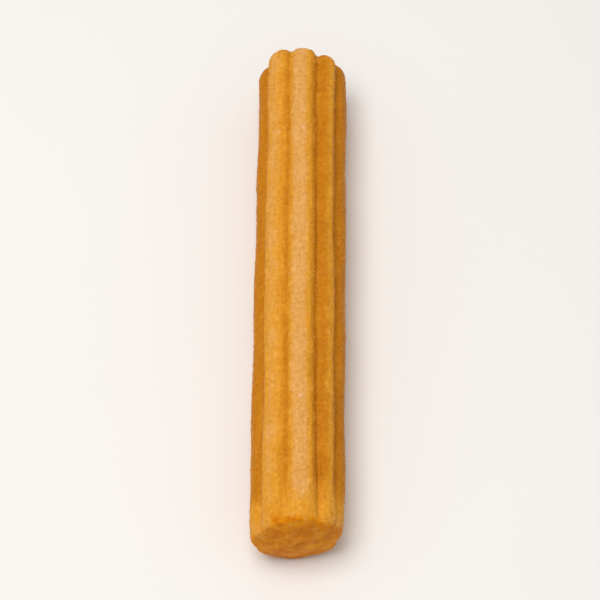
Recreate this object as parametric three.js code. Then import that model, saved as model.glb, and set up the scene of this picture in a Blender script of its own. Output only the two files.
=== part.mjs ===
// A churro: one straight stick of dough, pressed through a star-shaped die, fried, and lying on its
// underside.
// Millimetres, +Z up. The stick lies along Y: its near end faces -Y and its far end faces +Y.
// The origin is on the ground, under the middle of the stick.
// Angles round the stick start at its top and turn towards +X.
import * as THREE from "three";

// Driving dimensions.
const LENGTH = 150; // from end to end
const GIRTH = 25; // across two opposite crests
const CREST_BREADTH = 2.2; // 1 for crests as broad as the grooves, more for broader ones
const GROOVE_MEAN = 0.29; // mean depth of a groove from crest to crest, as a share of its full depth
const FOOT_SINK = 0.8; // how far the lowest ridge has settled flat under the stick's weight

// The ridges, one for each point of the die. Before each is its groove: the angle, in degrees, and the
// depth below the crests. Its crest is halfway to the next ridge's groove and stands past the girth by
// `rise`. At the far end it reaches `reach` further than the end's outline.
const RIDGES = [
  { groove: -22, depth: 1.9, rise: 0.1, reach: 0 },
  { groove: 24, depth: 2.3, rise: 0, reach: -0.6 },
  { groove: 55, depth: 2, rise: -0.1, reach: 0.4 },
  { groove: 104, depth: 2.1, rise: 0.1, reach: -0.5 },
  { groove: 151, depth: 1.9, rise: 0, reach: 0.3 },
  { groove: 199, depth: 2, rise: -0.1, reach: 0 },
  { groove: 246, depth: 2.1, rise: 0, reach: 0.5 },
  { groove: 296, depth: 2, rise: 0, reach: 1.4 },
];

// How the ridges run from the far end to the near one: all turn, more and more, and each swells and
// sways.
const ARC_DEG = 7.5; // how far they have turned at the near end
const SWELL = 0.14; // how much a ridge swells and thins
const SWELL_PITCH = 37; // from one swelling to the next
const SWAY_DEG = 0.8; // how far a ridge sways to its sides
const SWAY_PITCH = 71; // from one sway to the next
const OUT_OF_STEP = 2.4; // turn between the swells of neighbouring ridges, which keeps them out of step

// The ends. Each has a domed face, inset from the stick's outline, and a rounded edge from face to sides.
// The grooves keep the share `grooves` at the end and are whole past the distance `fade`.
// An end reaches further at its top than at its foot by `lean`, and further on its -X side than on
// its +X side by `slant`.
const NEAR_END = { dome: 1.6, edgeIn: 1.2, edgeAlong: 2.4, grooves: 0.2, fade: 9, lean: -1, slant: 2.6 };
const FAR_END = { dome: 1, edgeIn: 3, edgeAlong: 3.4, grooves: 0.95, fade: 7, lean: 6, slant: 0 };
const LEAN_FADE = 22; // the length over which leans, slants and reaches die out

// The mesh.
const RIDGE_STEPS = 12; // columns of the mesh from one groove to the next
const BODY_RINGS = 26; // along the stick between the rounded edges
const EDGE_RINGS = 6; // over each rounded edge
const FACE_RINGS = 3; // over each end's face

const RADIUS = GIRTH / 2;
const AXIS_HEIGHT = RADIUS - FOOT_SINK;
const FULL_TURN = 2 * Math.PI;
const { degToRad, lerp, smoothstep } = THREE.MathUtils;

// A ridge by its number. After the last ridge comes the first again, and before the first comes the last.
function ridgeAt(i) {
  return RIDGES[(i + RIDGES.length) % RIDGES.length];
}

// A wave along the stick, out of step with those of the neighbouring ridges.
function waveAt(i, y, pitch) {
  return Math.sin((FULL_TURN * y) / pitch + RIDGES.indexOf(ridgeAt(i)) * OUT_OF_STEP);
}

// The angle of the groove before a ridge at y.
function grooveAngle(i, y) {
  const fromFarEnd = 0.5 - y / LENGTH;
  const arc = ARC_DEG * fromFarEnd * fromFarEnd;
  const laps = Math.floor(i / RIDGES.length);
  return degToRad(ridgeAt(i).groove + SWAY_DEG * waveAt(i, y, SWAY_PITCH) + arc) + FULL_TURN * laps;
}

// The radius of a ridge's crest at y.
function crestRadius(i, y) {
  return RADIUS + ridgeAt(i).rise + SWELL * waveAt(i, y, SWELL_PITCH);
}

// How much of the grooves is there at a distance from an end.
function groovesAt(end, distance) {
  return lerp(end.grooves, 1, smoothstep(distance, 0, end.fade));
}

// How much of an end's lean, slant and reach is there at a distance from it.
function leaningAt(distance) {
  return 1 - smoothstep(distance, 0, LEAN_FADE);
}

// How far an end falls short of its plane at a point of its outline.
function shortfall(end, x, height) {
  return end.lean * (1 - height / GIRTH) + (end.slant * x) / GIRTH;
}

// One point of the stick's surface: column j of the mesh, on a ring.
function surfacePoint(j, ring) {
  const fromNear = ring.y + LENGTH / 2;
  const fromFar = LENGTH / 2 - ring.y;
  const ridge = Math.floor(j / RIDGE_STEPS);
  const share = (j % RIDGE_STEPS) / RIDGE_STEPS;
  const angle = lerp(grooveAngle(ridge, ring.y), grooveAngle(ridge + 1, ring.y), share);
  const depth = lerp(ridgeAt(ridge).depth, ridgeAt(ridge + 1).depth, share);

  // From its crest down to its grooves, a ridge blends halfway into its neighbour.
  const offCrest = Math.abs(1 - 2 * share);
  const neighbour = share < 0.5 ? ridge - 1 : ridge + 1;
  const crest = lerp(crestRadius(ridge, ring.y), crestRadius(neighbour, ring.y), offCrest / 2);
  const reach = lerp(ridgeAt(ridge).reach, ridgeAt(neighbour).reach, offCrest / 2);

  const groove = 0.5 - 0.5 * Math.cos(Math.PI * Math.pow(offCrest, CREST_BREADTH));
  const grooves = groovesAt(NEAR_END, fromNear) * groovesAt(FAR_END, fromFar);
  const radius = ring.share * (crest - depth * lerp(GROOVE_MEAN, groove, grooves) - ring.inset);
  const x = radius * Math.sin(angle);
  const height = Math.max(0, AXIS_HEIGHT + radius * Math.cos(angle));

  const nearShift = shortfall(NEAR_END, x, height) * leaningAt(fromNear);
  const farShift = (ring.share * reach - shortfall(FAR_END, x, height)) * leaningAt(fromFar);
  return new THREE.Vector3(x, ring.y + nearShift + farShift, height);
}

// The rings of one end, from the middle of its face to its side: how deep each lies behind the end's
// plane, how far it is inset from the stick's outline, and its share of that inset outline.
// The rounded edge starts with the slope that the domed face has at its rim.
function endRings(end) {
  const slope = (2 * end.dome) / (RADIUS - end.edgeIn);
  const start = Math.atan((slope * end.edgeIn) / end.edgeAlong);
  const edge = [];
  for (let i = 0; i <= EDGE_RINGS; i++) {
    const turn = lerp(start, Math.PI / 2, i / EDGE_RINGS);
    edge.push({
      depth: end.dome + end.edgeAlong * (Math.cos(start) - Math.cos(turn)),
      inset: end.edgeIn * (1 - Math.sin(turn)),
      share: 1,
    });
  }
  const face = [];
  for (let i = 0; i < FACE_RINGS; i++) {
    const share = i / FACE_RINGS;
    face.push({ depth: end.dome * share * share, inset: edge[0].inset, share });
  }
  return [...face, ...edge];
}

// All rings, from the middle of the near end's face to the middle of the far end's.
function stickRings() {
  const near = endRings(NEAR_END).map((ring) => ({ ...ring, y: ring.depth - LENGTH / 2 }));
  const far = endRings(FAR_END).map((ring) => ({ ...ring, y: LENGTH / 2 - ring.depth })).reverse();
  const start = near[near.length - 1].y;
  const body = [];
  for (let i = 1; i < BODY_RINGS; i++) {
    body.push({ y: lerp(start, far[0].y, i / BODY_RINGS), inset: 0, share: 1 });
  }
  return [...near, ...body, ...far];
}

// The stick: a plain round one from a lathe, whose every point is then moved to its place on the ridges.
function stickGeometry() {
  const rings = stickRings();
  const columns = RIDGES.length * RIDGE_STEPS;
  const profile = rings.map((ring) => new THREE.Vector2(RADIUS * ring.share, ring.y));
  const geometry = new THREE.LatheGeometry(profile, columns);
  const position = geometry.getAttribute("position");
  for (let j = 0; j <= columns; j++) {
    rings.forEach((ring, i) => {
      const point = surfacePoint(j % columns, ring);
      position.setXYZ(j * rings.length + i, point.x, point.y, point.z);
    });
  }
  // The leaning ends and the swells leave the stick a little off centre and off its length.
  geometry.computeBoundingBox();
  const middle = geometry.boundingBox.getCenter(new THREE.Vector3());
  const size = geometry.boundingBox.getSize(new THREE.Vector3());
  geometry.translate(-middle.x, -middle.y, 0);
  geometry.scale(1, LENGTH / size.y, 1);
  return geometry;
}

const dough = new THREE.MeshStandardMaterial({ color: 0xe0a04b, roughness: 0.6, metalness: 0 });
const churro = new THREE.Mesh(stickGeometry(), dough);
churro.name = "churro";

const part = new THREE.Group();
part.add(churro);
export default part;
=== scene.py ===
"""A churro: one straight stick of fried dough with rounded ridges, lying on a pale floor.

Metres, +Z up. The stick lies along Y: its near end faces -Y and its far end faces +Y.
Angles round the stick start at its top and turn towards +X.
"""

import math

import bmesh
import bpy
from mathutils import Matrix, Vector


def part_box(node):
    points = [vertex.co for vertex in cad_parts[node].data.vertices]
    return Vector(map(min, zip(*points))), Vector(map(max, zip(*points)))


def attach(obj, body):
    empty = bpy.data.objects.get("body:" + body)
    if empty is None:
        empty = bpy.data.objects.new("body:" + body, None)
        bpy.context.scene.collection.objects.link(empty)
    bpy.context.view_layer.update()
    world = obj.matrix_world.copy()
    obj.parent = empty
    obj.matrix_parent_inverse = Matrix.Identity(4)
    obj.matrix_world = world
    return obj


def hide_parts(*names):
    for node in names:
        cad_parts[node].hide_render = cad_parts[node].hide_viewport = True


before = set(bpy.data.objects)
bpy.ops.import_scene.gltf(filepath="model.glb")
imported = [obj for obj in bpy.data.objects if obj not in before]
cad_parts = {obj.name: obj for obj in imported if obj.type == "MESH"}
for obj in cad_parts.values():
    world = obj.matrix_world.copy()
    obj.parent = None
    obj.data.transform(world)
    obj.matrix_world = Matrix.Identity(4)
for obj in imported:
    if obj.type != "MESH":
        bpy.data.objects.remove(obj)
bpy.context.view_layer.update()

MM = 0.001
FULL_TURN = 2 * math.pi

# --- Sizes of the stick ------------------------------------------------------------------------

# Its length is the frame's. The others are the dough's own.
low_corner, high_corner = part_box("churro")
LENGTH = high_corner.y - low_corner.y
GIRTH = 25 * MM  # across two opposite crests
RADIUS = GIRTH / 2
CREST_BREADTH = 2.2  # 1 for crests as broad as the grooves, more for broader ones
GROOVE_MEAN = 0.29  # mean depth of a groove, as a share of its full depth
FOOT_SINK = 0.8 * MM  # how far the lowest ridge has settled flat
AXIS = RADIUS - FOOT_SINK  # height of the stick's axis

# The ridges. Before each is its groove: the angle, in degrees, and the depth below the crests.
# Its crest is halfway to the next groove, stands past the girth by the rise, and reaches further
# than the others at the far end by the reach.
RIDGES = [
    {"groove": -22, "depth": 1.9 * MM, "rise": 0.1 * MM, "reach": 0},
    {"groove": 24, "depth": 2.3 * MM, "rise": 0, "reach": -0.6 * MM},
    {"groove": 55, "depth": 2 * MM, "rise": -0.1 * MM, "reach": 0.4 * MM},
    {"groove": 104, "depth": 2.1 * MM, "rise": 0.1 * MM, "reach": -0.5 * MM},
    {"groove": 151, "depth": 1.9 * MM, "rise": 0, "reach": 0.3 * MM},
    {"groove": 199, "depth": 2 * MM, "rise": -0.1 * MM, "reach": 0},
    {"groove": 246, "depth": 2.1 * MM, "rise": 0, "reach": 0.5 * MM},
    {"groove": 296, "depth": 2 * MM, "rise": 0, "reach": 1.4 * MM},
]

# How the ridges run: all of them turn, more and more towards the near end, and each swells and
# sways.
ARC_DEG = 7.5  # how far they have turned at the near end
SWELL = 0.14 * MM  # how much a ridge swells and thins
SWELL_PITCH = 37 * MM  # from one swelling to the next
SWAY_DEG = 0.8  # how far it sways to its sides
SWAY_PITCH = 71 * MM  # from one sway to the next
OUT_OF_STEP = 2.4  # turn between the waves of neighbouring ridges

# The ends. Each has a domed face, inset from the stick's outline, and a rounded edge from face to
# sides. The grooves keep the share `grooves` at the end and are whole past the distance `fade`.
# An end reaches further at its top than at its foot by `lean`, and further on its -X side than on
# its +X side by `slant`. The colour of its face reaches `tinted` along the stick.
NEAR_END = {
    "dome": 1.6 * MM, "edge_in": 1.2 * MM, "edge_along": 2.4 * MM, "grooves": 0.2, "fade": 9 * MM,
    "lean": -1 * MM, "slant": 2.6 * MM, "tinted": 6 * MM,
}
FAR_END = {
    "dome": 1 * MM, "edge_in": 3 * MM, "edge_along": 3.4 * MM, "grooves": 0.95, "fade": 7 * MM,
    "lean": 6 * MM, "slant": 0, "tinted": 2.6 * MM,
}
LEAN_FADE = 22 * MM  # the length over which leans, slants and reaches die out

# The mesh before it is smoothed.
RIDGE_STEPS = 8  # columns from one groove to the next
COLUMNS = len(RIDGES) * RIDGE_STEPS
BODY_RINGS = 72  # along the stick between the rounded edges
EDGE_RINGS = 5  # over each rounded edge
FACE_RINGS = 5  # over each end's face
POLE_REACH = 0.1 * MM  # a point nearer to the axis than this is the middle of an end

# The roughness of the crust. Each is a noise: the breadth of its lumps, the finer layers on them,
# and how far it moves the surface from its lowest places to its highest.
DOUGH_LUMPS = {"breadth": 5 * MM, "layers": 1, "height": 0.5 * MM}
NOZZLE_STREAKS = {"breadth": 0.9 * MM, "layers": 0, "height": 0.22 * MM}
CRUST_GRAIN = {"breadth": 0.8 * MM, "layers": 1, "height": 0.28 * MM}
STREAK_STRETCH = 14  # how many times longer than broad the nozzle's streaks are
SMOOTHING = 2  # times that smoothing divides every face
PRESSED = 0.2 * FOOT_SINK  # what is still lower than this after roughening is pressed flat

# The sugar grains.
GRAIN = 0.5 * MM  # a grain's breadth
GRAIN_BLOCK = 0.7 * GRAIN  # the cube that it is made from
GRAIN_SHAPE = (1, 1.25, 0.8)  # how much the cube is stretched along each axis
GRAIN_CUT = 0.16 * GRAIN  # how much of each corner is cut
GRAIN_DENSITY = 2e5  # grains on a square metre of crust
SMALLEST_GRAIN = 0.4  # as a share of the largest
GRAIN_SEED = 4  # another number strews them another way

# --- Browning, with painted shade and sheen ----------------------------------------------------

# How brown each ridge is on the flank before its crest, on its crest and on the flank after it,
# from 0 for pale to 1 for brown, and how brown the grooves are. Part of this is painted light: the
# crests are paler for a painted sheen, and the grooves, some flanks beside them and the ridges at
# the sides are browner for painted shade.
RIDGE_BROWNING_AND_PAINTED_LIGHT = [
    (0.1, 0, 0.66),
    (0.92, 0.5, 0.95),
    (1.0, 0.8, 0.8),
    (0.8, 0.4, 0.75),
    (0.8, 0.45, 0.8),
    (0.75, 0.4, 0.8),
    (0.8, 0.7, 1.0),
    (0.65, 0.22, 0.36),
]
# The grooves are browner partly from browning and partly for painted shade.
GROOVE_BROWNING_AND_SHADE = 0.9

# At the near end all ridges and grooves are equally browned. From the end, this is whole up to the
# first distance and gone past the second.
NEAR_BROWNING = 0.4
NEAR_FADE = (4 * MM, 15 * MM)
FACE_DEPTH = 0.5 * MM  # as far as this behind the end, the colour of the face is whole


def smoothstep(value, start, stop):
    share = min(max((value - start) / (stop - start), 0), 1)
    return share * share * (3 - 2 * share)


def lerp(start, stop, share):
    return start + (stop - start) * share


def mean(values):
    return sum(values) / len(values)


# --- Selecting and moving ----------------------------------------------------------------------


def pick(piece):
    """Selects just this piece."""
    bpy.ops.object.select_all(action="DESELECT")
    piece.select_set(True)
    bpy.context.view_layer.objects.active = piece


def edit(piece):
    """Opens a piece for editing by its points, with nothing selected."""
    pick(piece)
    bpy.ops.object.mode_set(mode="EDIT")
    bpy.ops.mesh.select_mode(type="VERT")
    bpy.ops.mesh.select_all(action="DESELECT")


def take(piece, indices):
    """Selects just these points."""
    bpy.ops.mesh.select_all(action="DESELECT")
    mesh = bmesh.from_edit_mesh(piece.data)
    mesh.verts.ensure_lookup_table()
    for i in indices:
        mesh.verts[i].select_set(True)
    mesh.select_flush_mode()


def turn_about_axis(angle, y):
    """Turns the selection round the stick, towards +X at its top."""
    bpy.ops.transform.rotate(
        value=-angle, orient_axis="Y", orient_type="GLOBAL", center_override=(0, y, AXIS)
    )


def swell_about_axis(factor, y):
    """Moves the selection out from the stick's axis, or in."""
    bpy.ops.transform.resize(value=(factor, 1, factor), center_override=(0, y, AXIS))


def press_flat(piece, below):
    """Presses what is lower than this flat on the ground."""
    mesh = bmesh.from_edit_mesh(piece.data)
    take(piece, [v.index for v in mesh.verts if v.co.z < below])
    bpy.ops.transform.resize(value=(1, 1, 0), center_override=(0, 0, 0))


# --- The stick ---------------------------------------------------------------------------------


def end_rings(end):
    """The rings of an end, from its middle to its side: depth, inset, share of the full breadth.

    The face is a low dome, and the rounded edge starts with the slope that the dome has at its rim.
    """
    slope = 2 * end["dome"] / (RADIUS - end["edge_in"])
    start = math.atan(slope * end["edge_in"] / end["edge_along"])
    edge = []
    for i in range(EDGE_RINGS + 1):
        turn = lerp(start, math.pi / 2, i / EDGE_RINGS)
        depth = end["dome"] + end["edge_along"] * (math.cos(start) - math.cos(turn))
        edge.append((depth, end["edge_in"] * (1 - math.sin(turn)), 1))
    rim = edge[0][1]
    shares = [i / FACE_RINGS for i in range(1, FACE_RINGS)]
    return [(end["dome"] * share**2, rim, share) for share in shares] + edge


def stick_rings():
    """The rings from the near face to the far one: place, inset, share of the full breadth."""
    near = [(depth - LENGTH / 2, inset, share) for depth, inset, share in end_rings(NEAR_END)]
    far = [(LENGTH / 2 - depth, inset, share) for depth, inset, share in end_rings(FAR_END)[::-1]]
    body = [(lerp(near[-1][0], far[0][0], i / BODY_RINGS), 0, 1) for i in range(1, BODY_RINGS)]
    return near + body + far


def close_end(y):
    """Closes the selected ring to a point on the axis."""
    bpy.ops.mesh.extrude_region_move(TRANSFORM_OT_translate={"value": (0, 0, 0)})
    bpy.ops.mesh.merge(type="CENTER")
    swell_about_axis(0, y)


def plain_stick(rings):
    """A round stick: a circle that is drawn out ring by ring and closed at both ends."""
    y, inset, share = rings[0]
    bpy.ops.object.select_all(action="DESELECT")
    bpy.ops.mesh.primitive_circle_add(
        vertices=COLUMNS,
        radius=share * (RADIUS - inset),
        location=(0, y, AXIS),
        rotation=(math.pi / 2, 0, 0),
    )
    stick = bpy.context.object
    stick.name = stick.data.name = "churro_crust"
    bpy.ops.object.transform_apply(location=True, rotation=True, scale=True)
    edit(stick)
    bpy.ops.mesh.select_all(action="SELECT")
    for (last_y, last_inset, last_share), (y, inset, share) in zip(rings, rings[1:]):
        bpy.ops.mesh.extrude_region_move(TRANSFORM_OT_translate={"value": (0, y - last_y, 0)})
        swell_about_axis(share * (RADIUS - inset) / (last_share * (RADIUS - last_inset)), y)
    close_end(rings[-1][0])
    take(stick, range(COLUMNS))
    close_end(rings[0][0])
    return stick


def plain_angle(column):
    """The angle of a column on the plain stick. Column 0 is at the first ridge's groove."""
    return FULL_TURN * (column - RIDGE_STEPS / 2) / COLUMNS


def column_of(point):
    """Which column a point of the plain stick is in."""
    turned = math.atan2(point.x, point.z - AXIS) / FULL_TURN * COLUMNS
    return round(turned + RIDGE_STEPS / 2) % COLUMNS


def points_by_ring(stick, rings):
    """For every ring, which point is in which column. The two poles are left out."""
    mesh = bmesh.from_edit_mesh(stick.data)
    grid = [dict() for _ in rings]
    for v in mesh.verts:
        if math.hypot(v.co.x, v.co.z - AXIS) > POLE_REACH:
            ring = min(range(len(rings)), key=lambda i: abs(rings[i][0] - v.co.y))
            grid[ring][column_of(v.co)] = v.index
    return grid


def number_in_order(stick, rings):
    """Numbers points, edges and faces ring by ring.

    An extrusion numbers them by chance, and the grains are strewn by the faces' numbers, so
    without this they would lie elsewhere each time.
    """
    mesh = bmesh.from_edit_mesh(stick.data)
    order = {}
    for points in points_by_ring(stick, rings):
        for column in range(COLUMNS):
            order[points[column]] = len(order)
    poles = [v for v in mesh.verts if v.index not in order]
    for v in sorted(poles, key=lambda v: v.co.y):
        order[v.index] = len(order)

    def number(element):
        """A number of an edge's or a face's own, made from those of its first points."""
        result = 0
        for i in sorted(v.index for v in element.verts)[:3]:
            result = result * len(order) + i
        return result

    mesh.verts.sort(key=lambda v: order[v.index])
    mesh.verts.index_update()
    mesh.edges.sort(key=number)
    mesh.faces.sort(key=number)
    bmesh.update_edit_mesh(stick.data)


def grooves_at(y):
    """How much of the grooves is there."""
    near = lerp(NEAR_END["grooves"], 1, smoothstep(y + LENGTH / 2, 0, NEAR_END["fade"]))
    far = lerp(FAR_END["grooves"], 1, smoothstep(LENGTH / 2 - y, 0, FAR_END["fade"]))
    return near * far


def off_crest(column):
    """0 on a ridge's crest and 1 in its grooves."""
    return abs(1 - 2 * (column % RIDGE_STEPS) / RIDGE_STEPS)


def depth_at(column, grooves):
    """How deep a column is pressed in, with that much of the grooves."""
    i, step = divmod(column, RIDGE_STEPS)
    after = RIDGES[(i + 1) % len(RIDGES)]
    whole = lerp(RIDGES[i]["depth"], after["depth"], step / RIDGE_STEPS)
    groove = 0.5 - 0.5 * math.cos(math.pi * off_crest(column) ** CREST_BREADTH)
    return whole * lerp(GROOVE_MEAN, groove, grooves)


def set_columns(stick, grid):
    """Turns every column, along the whole stick, to its place between the grooves of its ridge."""
    for column in range(COLUMNS):
        i, step = divmod(column, RIDGE_STEPS)
        start = RIDGES[i]["groove"]
        stop = RIDGES[i + 1]["groove"] if i + 1 < len(RIDGES) else RIDGES[0]["groove"] + 360
        place = math.radians(lerp(start, stop, step / RIDGE_STEPS))
        take(stick, [points[column] for points in grid])
        turn_about_axis(place - plain_angle(column), 0)


def press_grooves(stick, rings, grid):
    """Presses the columns in.

    The rings with whole grooves are pressed together, and those near the ends one by one.
    """
    whole = []
    others = []
    for (y, inset, _), points in zip(rings, grid):
        if inset == 0 and grooves_at(y) == 1:
            whole.append(points)
        else:
            others.append((y, inset, points))
    for column in range(COLUMNS):
        take(stick, [points[column] for points in whole])
        swell_about_axis(1 - depth_at(column, 1) / RADIUS, 0)
    for y, inset, points in others:
        for column in range(COLUMNS):
            take(stick, [points[column]])
            swell_about_axis(1 - depth_at(column, grooves_at(y)) / (RADIUS - inset), y)


def ridge_groups(points):
    """A ring's points in groups that move as one: each ridge's own, and the groove before it.

    With each group come the numbers of the ridges that it belongs to.
    """
    groups = []
    for i in range(len(RIDGES)):
        groove = i * RIDGE_STEPS
        groups.append(((i,), [points[groove + step] for step in range(1, RIDGE_STEPS)]))
        groups.append((((i - 1) % len(RIDGES), i), [points[groove]]))
    return groups


def wave_at(i, y, pitch):
    """A wave along the stick, out of step with those of the neighbouring ridges."""
    return math.sin(FULL_TURN * y / pitch + i * OUT_OF_STEP)


def sway_and_swell(stick, rings, grid):
    """Lets each ridge sway and swell on its way, and turns every ring along the arc."""
    for (y, _, _), points in zip(rings, grid):
        for numbers, group in ridge_groups(points):
            sway = mean([SWAY_DEG * wave_at(i, y, SWAY_PITCH) for i in numbers])
            rise = mean([RIDGES[i]["rise"] + SWELL * wave_at(i, y, SWELL_PITCH) for i in numbers])
            take(stick, group)
            turn_about_axis(math.radians(sway), y)
            swell_about_axis(1 + rise / RADIUS, y)
        take(stick, points.values())
        turn_about_axis(math.radians(ARC_DEG * (0.5 - y / LENGTH) ** 2), y)


def skew(turn_axis, kept_axis, slope, centre):
    """Turns the selected ring by a slope, but keeps its size along one axis."""
    stretch = [1, 1, 1]
    stretch[kept_axis] = 1 / math.sqrt(1 - slope**2)
    bpy.ops.transform.rotate(
        value=math.asin(slope), orient_axis=turn_axis, orient_type="GLOBAL", center_override=centre
    )
    bpy.ops.transform.resize(value=stretch, center_override=centre)


def lean_ends(stick, rings, grid):
    """Skews the rings near the ends by lean and slant, and lets the ridges reach unevenly."""
    for (y, _, share), points in zip(rings, grid):
        near = 1 - smoothstep(y + LENGTH / 2, 0, LEAN_FADE)
        far = 1 - smoothstep(LENGTH / 2 - y, 0, LEAN_FADE)
        if near or far:
            lean = (far * FAR_END["lean"] - near * NEAR_END["lean"]) / GIRTH
            slant = (far * FAR_END["slant"] - near * NEAR_END["slant"]) / GIRTH
            take(stick, points.values())
            skew("X", 2, lean, (0, y, GIRTH))
            skew("Z", 0, slant, (0, y, AXIS))
        if far:
            for numbers, group in ridge_groups(points):
                take(stick, group)
                reach = mean([RIDGES[i]["reach"] for i in numbers])
                bpy.ops.transform.translate(value=(0, share * far * reach, 0))


def centre_pole(stick, ring, direction, dome):
    """Sets the point in the middle of an end to its ring's middle, pushed out to the dome's top."""
    mesh = bmesh.from_edit_mesh(stick.data)
    mesh.verts.ensure_lookup_table()
    points = [mesh.verts[i] for i in ring]
    neighbours = [e.other_vert(points[0]) for e in points[0].link_edges]
    pole = next(v for v in neighbours if len(v.link_edges) == COLUMNS)
    middle = sum((v.co for v in points), Vector()) / len(points)
    shift = middle + Vector((0, direction * dome / FACE_RINGS**2, 0)) - pole.co
    take(stick, [pole.index])
    bpy.ops.transform.translate(value=shift)


def fit_stick(stick):
    """Centres the stick, draws it out to the frame's length, and settles it flat on the ground."""
    mesh = bmesh.from_edit_mesh(stick.data)
    along = [v.co.y for v in mesh.verts]
    stretch = LENGTH / (max(along) - min(along))
    bpy.ops.mesh.select_all(action="SELECT")
    bpy.ops.transform.translate(value=(0, -(min(along) + max(along)) / 2, 0))
    bpy.ops.transform.resize(value=(1, stretch, 1), center_override=(0, 0, 0))
    press_flat(stick, 0)


def model_stick():
    """The stick with its ridges. Returns it with its rings and their points."""
    rings = stick_rings()
    stick = plain_stick(rings)
    number_in_order(stick, rings)
    grid = points_by_ring(stick, rings)
    set_columns(stick, grid)
    press_grooves(stick, rings, grid)
    sway_and_swell(stick, rings, grid)
    lean_ends(stick, rings, grid)
    centre_pole(stick, grid[0].values(), -1, NEAR_END["dome"])
    centre_pole(stick, grid[-1].values(), 1, FAR_END["dome"])
    fit_stick(stick)
    bpy.ops.mesh.select_all(action="SELECT")
    bpy.ops.mesh.normals_make_consistent(inside=False)
    bpy.ops.object.mode_set(mode="OBJECT")
    return stick, rings, grid


# --- The crust's surface -----------------------------------------------------------------------


def browning_and_painted_light_at(column):
    """How brown a column is, with the painted shade and sheen that it carries."""
    i, step = divmod(column, RIDGE_STEPS)
    marks = (GROOVE_BROWNING_AND_SHADE, *RIDGE_BROWNING_AND_PAINTED_LIGHT[i], GROOVE_BROWNING_AND_SHADE)
    place = (len(marks) - 1) * step / RIDGE_STEPS
    before = int(place)
    return lerp(marks[before], marks[before + 1], place - before)


def mark_zones(stick, rings, grid):
    """Marks how brown each point is, with its painted shade and sheen, and how far it is onto an
    end face.
    """
    browning_and_painted_light = stick.data.attributes.new("browning_and_painted_light", "FLOAT", "POINT")
    end_face = stick.data.attributes.new("end_face", "FLOAT", "POINT")
    end_face.data.foreach_set("value", [1.0] * len(stick.data.vertices))
    for (y, _, _), points in zip(rings, grid):
        near = 1 - smoothstep(y + LENGTH / 2, *NEAR_FADE)
        end = NEAR_END if y < 0 else FAR_END
        face = 1 - smoothstep(LENGTH / 2 - abs(y), FACE_DEPTH, end["tinted"])
        for column, i in points.items():
            browning_and_painted_light.data[i].value = lerp(browning_and_painted_light_at(column), NEAR_BROWNING, near)
            end_face.data[i].value = face


def roughen(piece, name, noise, along=None):
    """Moves the surface in and out by a noise. `along` is an empty whose axes the noise follows."""
    texture = bpy.data.textures.new(name, "CLOUDS")
    texture.noise_basis = "ORIGINAL_PERLIN"
    texture.noise_scale = noise["breadth"]
    texture.noise_depth = noise["layers"]
    bpy.ops.object.modifier_add(type="DISPLACE")
    modifier = piece.modifiers[-1]
    modifier.texture = texture
    modifier.strength = noise["height"]
    modifier.mid_level = 0.5
    if along:
        modifier.texture_coords = "OBJECT"
        modifier.texture_coords_object = along
    bpy.ops.object.modifier_apply(modifier=modifier.name)


def finish_crust(stick):
    """Smooths the stick, and roughens it with lumps of dough, the nozzle's streaks and grain."""
    bpy.ops.object.modifier_add(type="SUBSURF")
    smooth = stick.modifiers[-1]
    smooth.levels = smooth.render_levels = SMOOTHING
    bpy.ops.object.modifier_apply(modifier=smooth.name)
    roughen(stick, "dough_lumps", DOUGH_LUMPS)

    # The streaks run lengthwise, so their noise follows an empty that is drawn out along Y.
    bpy.ops.object.empty_add(location=(0, 0, 0))
    nozzle = bpy.context.object
    nozzle.scale = (1, STREAK_STRETCH, 1)
    bpy.context.view_layer.update()
    pick(stick)
    roughen(stick, "nozzle_streaks", NOZZLE_STREAKS, along=nozzle)
    bpy.data.objects.remove(nozzle)

    roughen(stick, "crust_grain", CRUST_GRAIN)
    edit(stick)
    press_flat(stick, PRESSED)
    bpy.ops.object.mode_set(mode="OBJECT")
    bpy.ops.object.shade_smooth()


stick, rings, grid = model_stick()
mark_zones(stick, rings, grid)
finish_crust(stick)

# --- Sugar grains and crumbs -------------------------------------------------------------------


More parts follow.
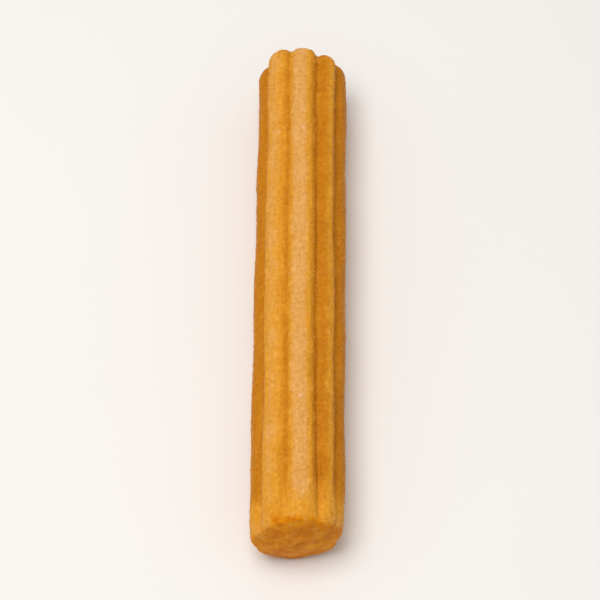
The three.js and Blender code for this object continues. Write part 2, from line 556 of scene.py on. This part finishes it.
def scatter(name, shape, ground, above, density, smallest, seed):
    """Strews copies of a shape over a piece, above a height, and joins them into one mesh."""
    tree = bpy.data.node_groups.new(name, "GeometryNodeTree")
    tree.interface.new_socket("Geometry", in_out="INPUT", socket_type="NodeSocketGeometry")
    tree.interface.new_socket("Geometry", in_out="OUTPUT", socket_type="NodeSocketGeometry")
    start = tree.nodes.new("NodeGroupInput")
    end = tree.nodes.new("NodeGroupOutput")

    spread = tree.nodes.new("GeometryNodeDistributePointsOnFaces")
    spread.inputs["Density"].default_value = density
    spread.inputs["Seed"].default_value = seed
    tree.links.new(start.outputs[0], spread.inputs["Mesh"])
    position = tree.nodes.new("GeometryNodeInputPosition")
    axes = tree.nodes.new("ShaderNodeSeparateXYZ")
    tree.links.new(position.outputs[0], axes.inputs[0])
    clear = tree.nodes.new("FunctionNodeCompare")
    clear.operation = "GREATER_THAN"
    clear.inputs["B"].default_value = above
    tree.links.new(axes.outputs["Z"], clear.inputs["A"])
    tree.links.new(clear.outputs[0], spread.inputs["Selection"])

    source = tree.nodes.new("GeometryNodeObjectInfo")
    source.inputs["Object"].default_value = shape

    turn = tree.nodes.new("FunctionNodeRandomValue")
    turn.data_type = "FLOAT_VECTOR"
    turn.inputs["Max"].default_value = (FULL_TURN, FULL_TURN, FULL_TURN)
    turn.inputs["Seed"].default_value = seed + 1

    size = tree.nodes.new("FunctionNodeRandomValue")
    size.data_type = "FLOAT"
    # Its inputs 2 and 3 are the least and the greatest number.
    size.inputs[2].default_value = smallest
    size.inputs[3].default_value = 1
    size.inputs["Seed"].default_value = seed + 2

    place = tree.nodes.new("GeometryNodeInstanceOnPoints")
    tree.links.new(spread.outputs["Points"], place.inputs["Points"])
    tree.links.new(source.outputs["Geometry"], place.inputs["Instance"])
    tree.links.new(turn.outputs[0], place.inputs["Rotation"])
    tree.links.new(size.outputs[1], place.inputs["Scale"])

    real = tree.nodes.new("GeometryNodeRealizeInstances")
    tree.links.new(place.outputs[0], real.inputs[0])
    tree.links.new(real.outputs[0], end.inputs[0])

    piece = ground.copy()
    piece.data = ground.data.copy()
    piece.name = piece.data.name = name
    bpy.context.collection.objects.link(piece)
    pick(piece)
    bpy.ops.object.modifier_add(type="NODES")
    modifier = piece.modifiers[-1]
    modifier.node_group = tree
    bpy.ops.object.modifier_apply(modifier=modifier.name)
    return piece


def model_grain():
    """One sugar grain: a small block with its corners cut."""
    bpy.ops.object.select_all(action="DESELECT")
    bpy.ops.mesh.primitive_cube_add(size=GRAIN_BLOCK, location=(0, 0, 0))
    grain = bpy.context.object
    bpy.ops.object.mode_set(mode="EDIT")
    bpy.ops.mesh.select_all(action="SELECT")
    bpy.ops.transform.resize(value=GRAIN_SHAPE)
    bpy.ops.mesh.bevel(offset=GRAIN_CUT, segments=1, affect="VERTICES")
    bpy.ops.object.mode_set(mode="OBJECT")
    return grain


grain = model_grain()
grains = scatter(
    "churro_grains", grain, stick,
    above=GRAIN, density=GRAIN_DENSITY, smallest=SMALLEST_GRAIN, seed=GRAIN_SEED,
)
bpy.data.objects.remove(grain)

# --- Colours and finishes ----------------------------------------------------------------------

# Colours are linear.
# The pale colour also holds a painted sheen for the crests, and the brown one also serves as
# painted shade in the grooves and on the sides.
PALE_AND_SHEEN = (0.73, 0.36, 0.09, 1)
GOLDEN = (0.73, 0.31, 0.022, 1)
BROWN_AND_SHADE = (0.54, 0.19, 0.006, 1)
END_PALE = (0.75, 0.265, 0.003, 1)
END_BROWN = (0.61, 0.178, 0.001, 1)
# The sugar on pale and on brown crust carries the same painted sheen and shade.
SUGAR_ON_PALE_AND_SHEEN = (0.80, 0.45, 0.15, 1)
SUGAR_ON_BROWN_AND_SHADE = (0.63, 0.25, 0.025, 1)
SUGAR_ON_END = (0.68, 0.26, 0.02, 1)
FLOOR_DULL = (0.85, 0.833, 0.815, 1)
FLOOR_BRIGHT = (0.88, 0.863, 0.845, 1)

# Tints are factors for a colour.
PALER = (1.10, 1.16, 1.6, 1)
BROWNER = (0.87, 0.78, 0.5, 1)
PORE = (0.8, 0.72, 0.5, 1)
BLISTER = (1.14, 1.2, 1.6, 1)
SPECK = (1.2, 1.35, 2.6, 1)
SUGAR_GLINT = (1.06, 1.12, 1.3, 1)

# A noise runs from 0 to 1, mostly near its mean. These are the ranges of it that are used.
NOISE_MEAN = 0.5
WIDE = (0.3, 0.7)
NARROW = (0.35, 0.65)
FINER_SHARE = 0.6  # in a rough noise, how strong each finer layer is beside the one before

# Mottling. Where its noise is as high or low as this, the tint is whole.
MOTTLED_HIGH = 0.72
MOTTLED_LOW = 0.28
STREAK_ALONG = 0.1  # a streak's place along the stick counts this much, which draws it out
PATCH_SIZE = 8 * MM
PATCHES = 0.25  # how strong the patches are
STREAK_WIDTH = 0.7 * MM
STREAKS = 0.4  # how strong the streaks are

# The browning of the crust.
HALF_BROWNED = 0.5  # as browned as this, the dough is golden
DRIFT_SIZE = 6 * MM  # lumps of the noise that makes the browning uneven
DRIFT = 0.08  # how much more or less browned it makes the dough

# The ends' faces: smears of two colours, and a torn edge round them.
SMEAR_SIZE = 4 * MM
SMEAR_BEND = 0.5  # how much the smears swirl
TORN_SIZE = 3 * MM
TORN = 0.35  # how ragged the edge is
FACE_EDGE = (0.3, 1.0)  # the colour of the face comes in over this range

# The grain of the fried dough. Its pores deepen and its blisters rise over these heights.
PORE_HEIGHTS = (0.5, 0.3)
BLISTER_HEIGHTS = (0.52, 0.7)

# The crust has finer and coarser grain: its size, and how strongly pores and blisters colour it.
CRUST_GRAINS = [
    {"size": 0.45 * MM, "pores": 0.3, "blisters": 0.55},
    {"size": 1.1 * MM, "pores": 0.55, "blisters": 0.6},
]

# Specks. Each is whole within its core, a share of its size.
SPECK_CORE = 0.4
SPECK_SPACING = 3.4 * MM
SPECK_SIZE = 1.1 * MM
SPECK_SHARE = 0.45  # how many cells hold one
SPECK_EDGE = (0.2, 0.8)  # towards a face, they fade over this range
SPECKS_ON_SIDES = 0.5  # how strong they are
SPECKS_ON_FACES = 0.2

# Bumps: the strength, and the height that they stand for.
COARSE_BUMP = (0.6, 0.35 * MM)
SPECK_BUMP = (0.5, 0.2 * MM)
FINE_BUMP = (0.7, 0.18 * MM)
SUGAR_BUMP = (0.2, 0.05 * MM)
FLOOR_BUMP = (0.05, 0.1 * MM)

# Gloss, and roughness from the low places of a noise to its high ones.
CRUST_ROUGHNESS = (0.54, 0.40)
CRUST_GLOSS = 0.06
SUGAR_ROUGHNESS = (0.35, 0.55)
SUGAR_GLOSS = 0.2
FLOOR_ROUGHNESS = 0.75

# The sugar's tones, which turn to glints over this range, and its facets.
TONE_SIZE = 1.2 * MM
GLINT_RANGE = (0.4, 0.7)
FACET_SIZE = 0.2 * MM

# The floor's noises, in lumps on a metre.
FLOOR_TONES = 6
FLOOR_GRAIN = 900


def feed(tree, node, inputs):
    """Fills a node's inputs. Each is a value to set, or a socket to link from."""
    for name, value in inputs.items():
        if isinstance(value, bpy.types.NodeSocket):
            tree.links.new(value, node.inputs[name])
        else:
            node.inputs[name].default_value = value
    return node


def add(tree, kind, inputs=None, **settings):
    """Adds a node."""
    made = tree.nodes.new("ShaderNode" + kind)
    for name, value in settings.items():
        setattr(made, name, value)
    return feed(tree, made, inputs or {})


def placed(tree, group, inputs):
    """Places a node group. Returns its outputs."""
    made = tree.nodes.new("ShaderNodeGroup")
    made.node_tree = group
    return feed(tree, made, inputs).outputs


def worked_out(tree, operation, first, second):
    """A sum, a product or a test of two numbers."""
    return add(tree, "Math", {0: first, 1: second}, operation=operation).outputs[0]


def blend_colours(tree, share, first, second, how="MIX"):
    """A colour between two, by a share. Sockets 0, 6 and 7 are the share and the two colours."""
    mix = add(tree, "Mix", {0: share, 6: first, 7: second}, data_type="RGBA", blend_type=how)
    return mix.outputs[2]


def spread_out(tree, value, start, stop, low=0.0, high=1.0):
    """Stretches the range from start to stop of a value over low to high."""
    made = add(
        tree,
        "MapRange",
        {"Value": value, "From Min": start, "From Max": stop, "To Min": low, "To Max": high},
        interpolation_type="SMOOTHSTEP",
    )
    return made.outputs["Result"]


def noise_of(tree, place, size, detail, bend=0.0):
    """A noise whose coarsest lumps have the given size. `bend` swirls them."""
    inputs = {"Vector": place, "Scale": 1 / size, "Detail": detail, "Distortion": bend}
    return add(tree, "TexNoise", inputs).outputs[0]


def bumped(tree, height, strength, distance, under=None):
    """The surface's direction with a height on it, over the one that is given."""
    inputs = {"Height": height, "Strength": strength, "Distance": distance}
    if under is not None:
        inputs["Normal"] = under
    return add(tree, "Bump", inputs).outputs[0]


def node_group(name, inputs, outputs):
    """An empty node group with named inputs and outputs. Returns it with both of its end nodes."""
    tree = bpy.data.node_groups.new(name, "ShaderNodeTree")
    for label, kind, value in inputs:
        socket = tree.interface.new_socket(label, in_out="INPUT", socket_type="NodeSocket" + kind)
        if value is not None:
            socket.default_value = value
    for label, kind in outputs:
        tree.interface.new_socket(label, in_out="OUTPUT", socket_type="NodeSocket" + kind)
    given = tree.nodes.new("NodeGroupInput").outputs
    result = tree.nodes.new("NodeGroupOutput").inputs
    return tree, given, result


def rough_noise(tree, place, size, detail):
    """A noise with strong finer layers. Its size may be a group's input."""
    scale = worked_out(tree, "DIVIDE", 1.0, size)
    inputs = {"Vector": place, "Scale": scale, "Detail": detail, "Roughness": FINER_SHARE}
    return add(tree, "TexNoise", inputs).outputs[0]


def make_mottling():
    """Uneven browning of a colour: broad patches, and streaks along the stick."""
    tree, given, result = node_group(
        "mottling",
        [
            ("Place", "Vector", None),
            ("Colour", "Color", (0.6, 0.3, 0.05, 1)),
            ("Paler", "Color", (1.1, 1.2, 1.5, 1)),
            ("Browner", "Color", (0.8, 0.7, 0.5, 1)),
            ("Patch Size", "Float", 12 * MM),
            ("Patches", "Float", 0.4),
            ("Streak Width", "Float", 1 * MM),
            ("Streaks", "Float", 0.4),
        ],
        [("Colour", "Color")],
    )
    drawn_out = add(tree, "Mapping", {"Vector": given["Place"], "Scale": (1, STREAK_ALONG, 1)})
    patches = rough_noise(tree, given["Place"], given["Patch Size"], detail=4)
    streaks = rough_noise(tree, drawn_out.outputs[0], given["Streak Width"], detail=3)
    colour = given["Colour"]
    for noise, amount in ((patches, given["Patches"]), (streaks, given["Streaks"])):
        for tint, whole in ((given["Browner"], MOTTLED_HIGH), (given["Paler"], MOTTLED_LOW)):
            share = worked_out(tree, "MULTIPLY", spread_out(tree, noise, NOISE_MEAN, whole), amount)
            colour = blend_colours(tree, share, colour, tint, "MULTIPLY")
    tree.links.new(colour, result["Colour"])
    return tree


def make_fried_grain():
    """The fine grain of fried dough: its height, its dark pores and its pale blisters."""
    tree, given, result = node_group(
        "fried_grain",
        [("Place", "Vector", None), ("Grain Size", "Float", 0.5 * MM)],
        [("Height", "Float"), ("Pores", "Float"), ("Blisters", "Float")],
    )
    height = rough_noise(tree, given["Place"], given["Grain Size"], detail=2)
    tree.links.new(height, result["Height"])
    tree.links.new(spread_out(tree, height, *PORE_HEIGHTS), result["Pores"])
    tree.links.new(spread_out(tree, height, *BLISTER_HEIGHTS), result["Blisters"])
    return tree


def make_specks():
    """Specks strewn sparsely: cells as wide as the spacing, of which a share holds one each."""
    tree, given, result = node_group(
        "specks",
        [
            ("Place", "Vector", None),
            ("Spacing", "Float", 2 * MM),
            ("Size", "Float", 0.5 * MM),
            ("Share", "Float", 0.3),
        ],
        [("Specks", "Float")],
    )
    scale = worked_out(tree, "DIVIDE", 1.0, given["Spacing"])
    cells = add(tree, "TexVoronoi", {"Vector": given["Place"], "Scale": scale, "Randomness": 1})
    chance = add(tree, "SeparateColor", {"Color": cells.outputs["Color"]}).outputs["Red"]
    held = worked_out(tree, "LESS_THAN", chance, given["Share"])
    reach = worked_out(tree, "MULTIPLY", given["Size"], scale)
    core = worked_out(tree, "MULTIPLY", reach, SPECK_CORE)
    round_speck = spread_out(tree, cells.outputs["Distance"], reach, core)
    tree.links.new(worked_out(tree, "MULTIPLY", held, round_speck), result["Specks"])
    return tree


MOTTLING = make_mottling()
SPECKS = make_specks()
FRIED_GRAIN = make_fried_grain()


def new_material(name):
    """A new material. Returns it with its tree, its shader and the place on the object."""
    material = bpy.data.materials.new(name)
    material.use_nodes = True
    tree = material.node_tree
    place = add(tree, "TexCoord").outputs["Object"]
    return material, tree, tree.nodes["Principled BSDF"], place


def marked(tree, name):
    """What is marked on the surface under a name."""
    return add(tree, "Attribute", attribute_name=name).outputs["Fac"]


def make_crust():
    """The fried crust: pale, golden and brown, mottled and grainy, with smeared ends. Its pale
    crests hold a painted sheen, and its brown grooves and sides partly hold painted shade.
    """
    material, tree, shader, place = new_material("fried_crust")
    browning_and_painted_light = marked(tree, "browning_and_painted_light")
    end_face = marked(tree, "end_face")

    # The dough turns golden and then brown, with uneven edges between. The pale end holds a painted
    # sheen and the brown end partly painted shade.
    drift = noise_of(tree, place, DRIFT_SIZE, detail=3)
    uneven = spread_out(tree, drift, *WIDE, -DRIFT, DRIFT)
    browning_and_painted_light = worked_out(tree, "ADD", browning_and_painted_light, uneven)
    golden = blend_colours(tree, spread_out(tree, browning_and_painted_light, 0, HALF_BROWNED), PALE_AND_SHEEN, GOLDEN)
    brown = blend_colours(tree, spread_out(tree, browning_and_painted_light, HALF_BROWNED, 1.0), golden, BROWN_AND_SHADE)
    colour = placed(tree, MOTTLING, {
        "Place": place,
        "Colour": brown,
        "Paler": PALER,
        "Browner": BROWNER,
        "Patch Size": PATCH_SIZE,
        "Patches": PATCHES,
        "Streak Width": STREAK_WIDTH,
        "Streaks": STREAKS,
    })["Colour"]

    # The ends are browner, with smears where the dough was cut off.
    smears = noise_of(tree, place, SMEAR_SIZE, detail=2, bend=SMEAR_BEND)
    smeared = blend_colours(tree, spread_out(tree, smears, *NARROW), END_PALE, END_BROWN)
    edge = noise_of(tree, place, TORN_SIZE, detail=3)
    torn = spread_out(tree, edge, *NARROW, -TORN, TORN)
    on_face = spread_out(tree, worked_out(tree, "ADD", end_face, torn), *FACE_EDGE)
    colour = blend_colours(tree, on_face, colour, smeared)

    # Grains of two sizes colour the crust.
    heights = []
    for kind in CRUST_GRAINS:
        made = placed(tree, FRIED_GRAIN, {"Place": place, "Grain Size": kind["size"]})
        pores = worked_out(tree, "MULTIPLY", made["Pores"], kind["pores"])
        colour = blend_colours(tree, pores, colour, PORE, "MULTIPLY")
        blisters = worked_out(tree, "MULTIPLY", made["Blisters"], kind["blisters"])
        colour = blend_colours(tree, blisters, colour, BLISTER, "MULTIPLY")
        heights.append(made["Height"])

    # So do sparse bright specks, which are weaker on the ends' faces.
    specks = placed(tree, SPECKS, {
        "Place": place,
        "Spacing": SPECK_SPACING,
        "Size": SPECK_SIZE,
        "Share": SPECK_SHARE,
    })["Specks"]
    strength = spread_out(tree, end_face, *SPECK_EDGE, SPECKS_ON_SIDES, SPECKS_ON_FACES)
    seen = worked_out(tree, "MULTIPLY", specks, strength)
    colour = blend_colours(tree, seen, colour, SPECK, "MULTIPLY")
    tree.links.new(colour, shader.inputs["Base Color"])

    # Both grains and the specks stand out of it.
    fine, coarse = heights
    roughness = spread_out(tree, fine, *WIDE, *CRUST_ROUGHNESS)
    tree.links.new(roughness, shader.inputs["Roughness"])
    normal = bumped(tree, coarse, *COARSE_BUMP)
    normal = bumped(tree, specks, *SPECK_BUMP, normal)
    normal = bumped(tree, fine, *FINE_BUMP, normal)
    tree.links.new(normal, shader.inputs["Normal"])
    shader.inputs["Specular IOR Level"].default_value = CRUST_GLOSS
    return material


def make_sugar():
    """Sugar that has taken the colour of the crust under it, painted shade and sheen included, with
    small facets.
    """
    material, tree, shader, place = new_material("golden_sugar")
    colour = blend_colours(tree, marked(tree, "browning_and_painted_light"), SUGAR_ON_PALE_AND_SHEEN, SUGAR_ON_BROWN_AND_SHADE)
    colour = blend_colours(tree, marked(tree, "end_face"), colour, SUGAR_ON_END)
    glints = spread_out(tree, noise_of(tree, place, TONE_SIZE, detail=1), *GLINT_RANGE)
    colour = blend_colours(tree, glints, colour, SUGAR_GLINT, "MULTIPLY")
    tree.links.new(colour, shader.inputs["Base Color"])
    facets = noise_of(tree, place, FACET_SIZE, detail=1)
    roughness = spread_out(tree, facets, *WIDE, *SUGAR_ROUGHNESS)
    tree.links.new(roughness, shader.inputs["Roughness"])
    tree.links.new(bumped(tree, facets, *SUGAR_BUMP), shader.inputs["Normal"])
    shader.inputs["Specular IOR Level"].default_value = SUGAR_GLOSS
    return material


def dress(piece, material):
    piece.data.materials.clear()
    piece.data.materials.append(material)


dress(stick, make_crust())
dress(grains, make_sugar())

for piece in (stick, grains):
    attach(piece, "root")
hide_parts("churro")

# --- Floor, lights and camera ------------------------------------------------------------------

FLOOR_SIZE = 6

# The lamp is a square one overhead, a little to the left, and points at the stick.
LAMP_PLACE = (-0.19, -0.05, 0.88)
LAMP_SIZE = 0.55
LAMP_POWER = 5.35
LAMP_COLOUR = (1.0, 0.985, 0.965)

SKY_COLOUR = (1.0, 0.99, 0.975, 1)
SKY_STRENGTH = 0.5

# The camera looks down at the stick from over its near end.
EYE = Vector((0.0043, -0.343, 0.623))
AIM = Vector((0, -0.0023, RADIUS))
SENSOR_WIDTH = 36  # in millimetres, as Blender's cameras have it
LENS = 153.9  # in millimetres
CLIP_START = 0.01


def make_floor_paint():
    """A pale, even paint with a trace of tone and grain."""
    material, tree, shader, place = new_material("pale_floor")
    tones = add(tree, "TexNoise", {"Vector": place, "Scale": FLOOR_TONES, "Detail": 4}).outputs[0]
    colour = blend_colours(tree, tones, FLOOR_DULL, FLOOR_BRIGHT)
    tree.links.new(colour, shader.inputs["Base Color"])
    fine = add(tree, "TexNoise", {"Vector": place, "Scale": FLOOR_GRAIN, "Detail": 3}).outputs[0]
    tree.links.new(bumped(tree, fine, *FLOOR_BUMP), shader.inputs["Normal"])
    shader.inputs["Roughness"].default_value = FLOOR_ROUGHNESS
    return material


def facing(place, aim):
    """The turn of a lamp or a camera at a place that points at another."""
    return (aim - place).to_track_quat("-Z", "Y").to_euler()


bpy.ops.mesh.primitive_plane_add(size=FLOOR_SIZE, location=(0, 0, 0))
floor = bpy.context.object
floor.name = "floor"
dress(floor, make_floor_paint())

bpy.ops.object.light_add(type="AREA", location=LAMP_PLACE)
lamp = bpy.context.object
lamp.name = "key"
lamp.data.size = LAMP_SIZE
lamp.data.energy = LAMP_POWER
lamp.data.color = LAMP_COLOUR
lamp.rotation_euler = facing(Vector(LAMP_PLACE), Vector())

world = bpy.data.worlds.new("studio")
world.use_nodes = True
background = world.node_tree.nodes["Background"]
background.inputs["Color"].default_value = SKY_COLOUR
background.inputs["Strength"].default_value = SKY_STRENGTH
bpy.context.scene.world = world
bpy.context.scene.view_settings.view_transform = "Standard"

bpy.ops.object.camera_add(location=EYE)
camera = bpy.context.object
camera.rotation_euler = facing(EYE, AIM)
camera.data.sensor_width = SENSOR_WIDTH
camera.data.lens = LENS
camera.data.clip_start = CLIP_START
bpy.context.scene.camera = camera
